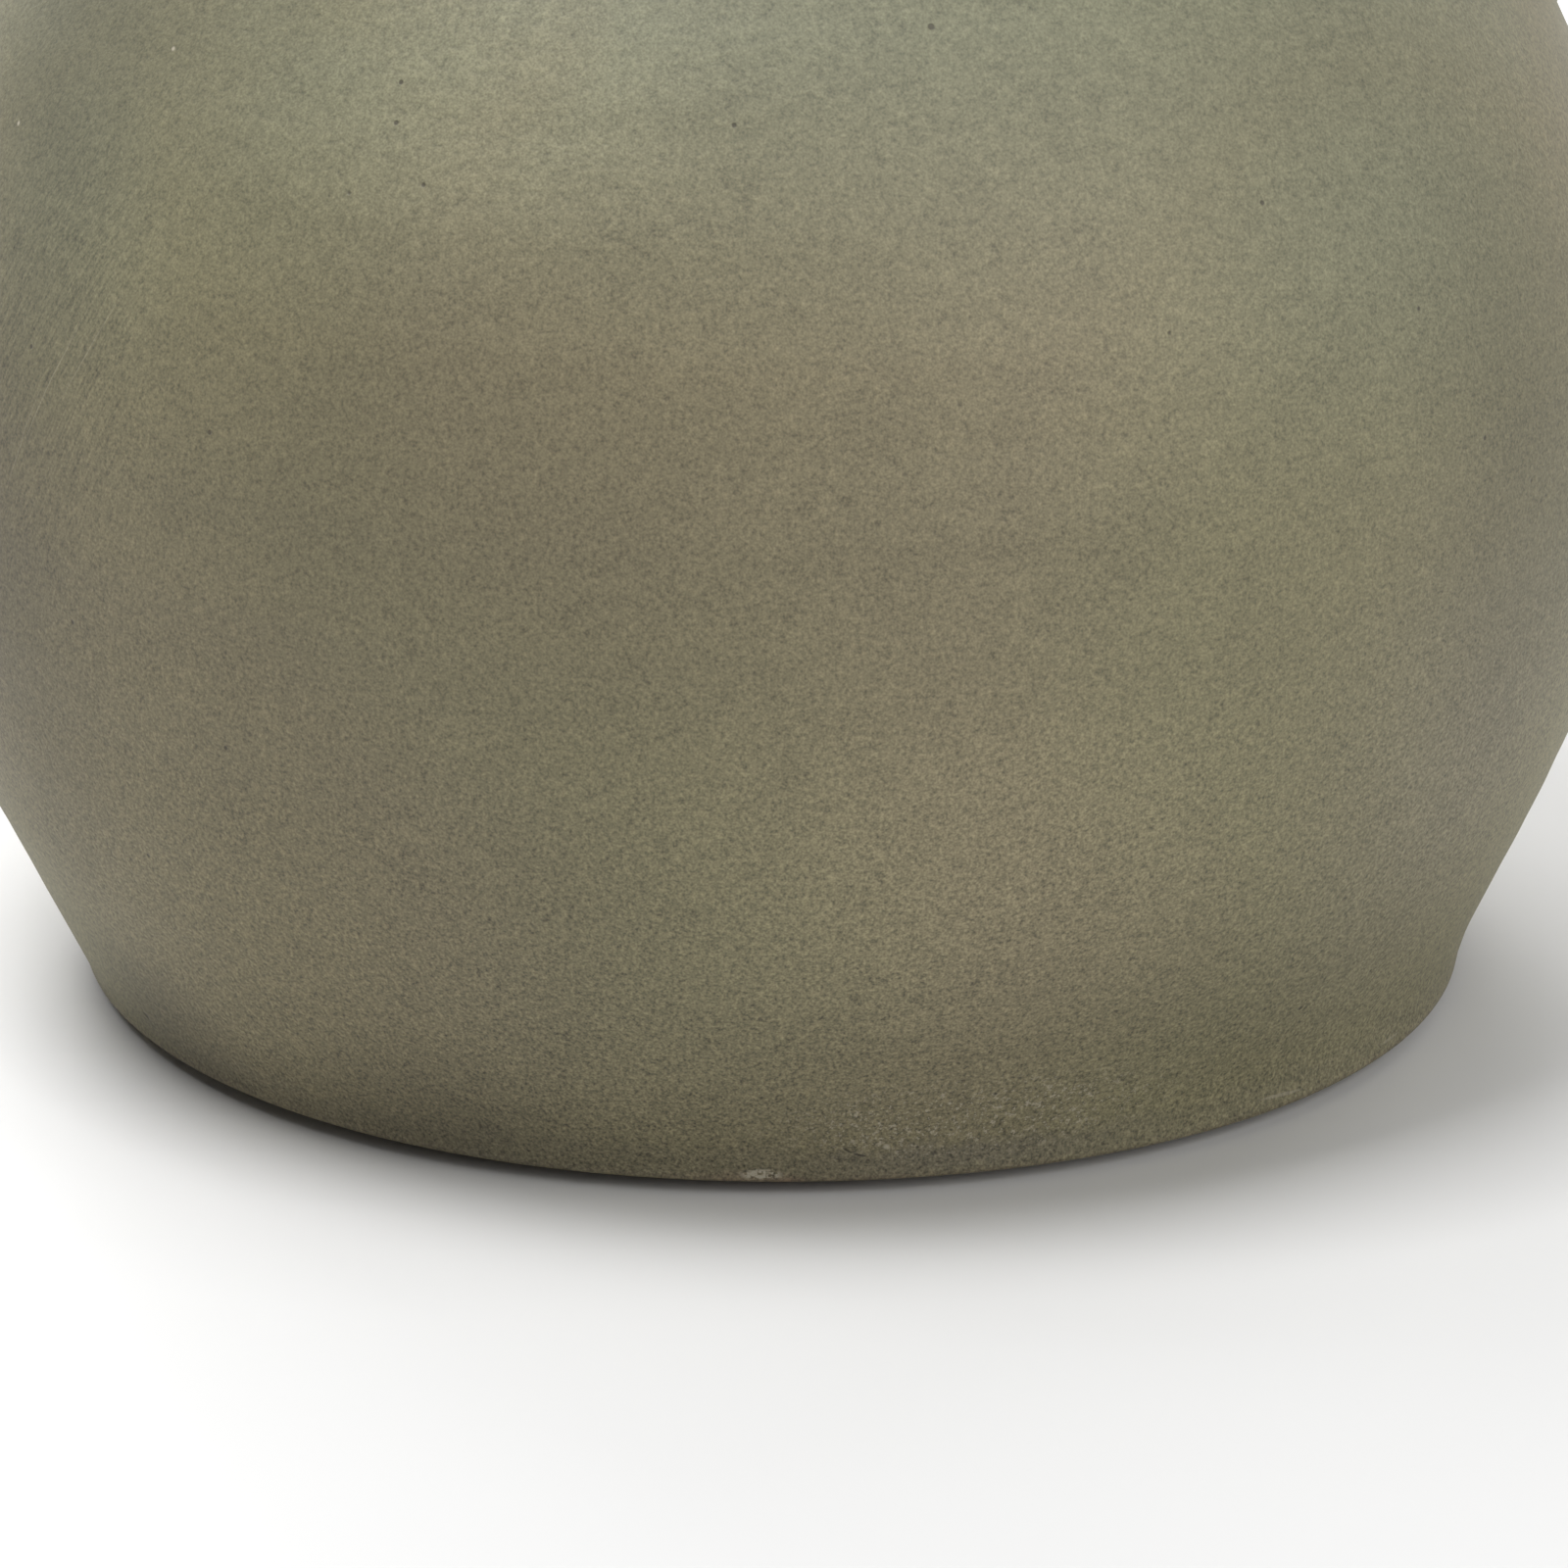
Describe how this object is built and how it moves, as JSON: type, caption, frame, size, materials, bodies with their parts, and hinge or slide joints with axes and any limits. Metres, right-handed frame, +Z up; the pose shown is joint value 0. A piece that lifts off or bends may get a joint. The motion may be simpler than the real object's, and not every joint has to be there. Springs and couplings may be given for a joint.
{
  "type": "milk jug",
  "caption": "Round-bellied stoneware milk jug with an open neck, a beak-shaped pouring spout and a looped strap handle, in a matte olive-grey glaze.",
  "frame": {"origin": "centre of the flat foot, on the surface that the jug stands on", "axes": "+Z up along the pot's axis, -X towards the spout, +X towards the handle"},
  "size_m": [0.1205, 0.1, 0.098],
  "materials": {
    "olive_glaze": "matte"
  },
  "bodies": {
    "root": {"thrown_pot": "olive_glaze", "spout": "olive_glaze", "handle": "olive_glaze", "spout_joint_coil": "olive_glaze", "handle_top_joint_coil": "olive_glaze", "handle_foot_joint_coil": "olive_glaze"}
  },
  "joints": []
}
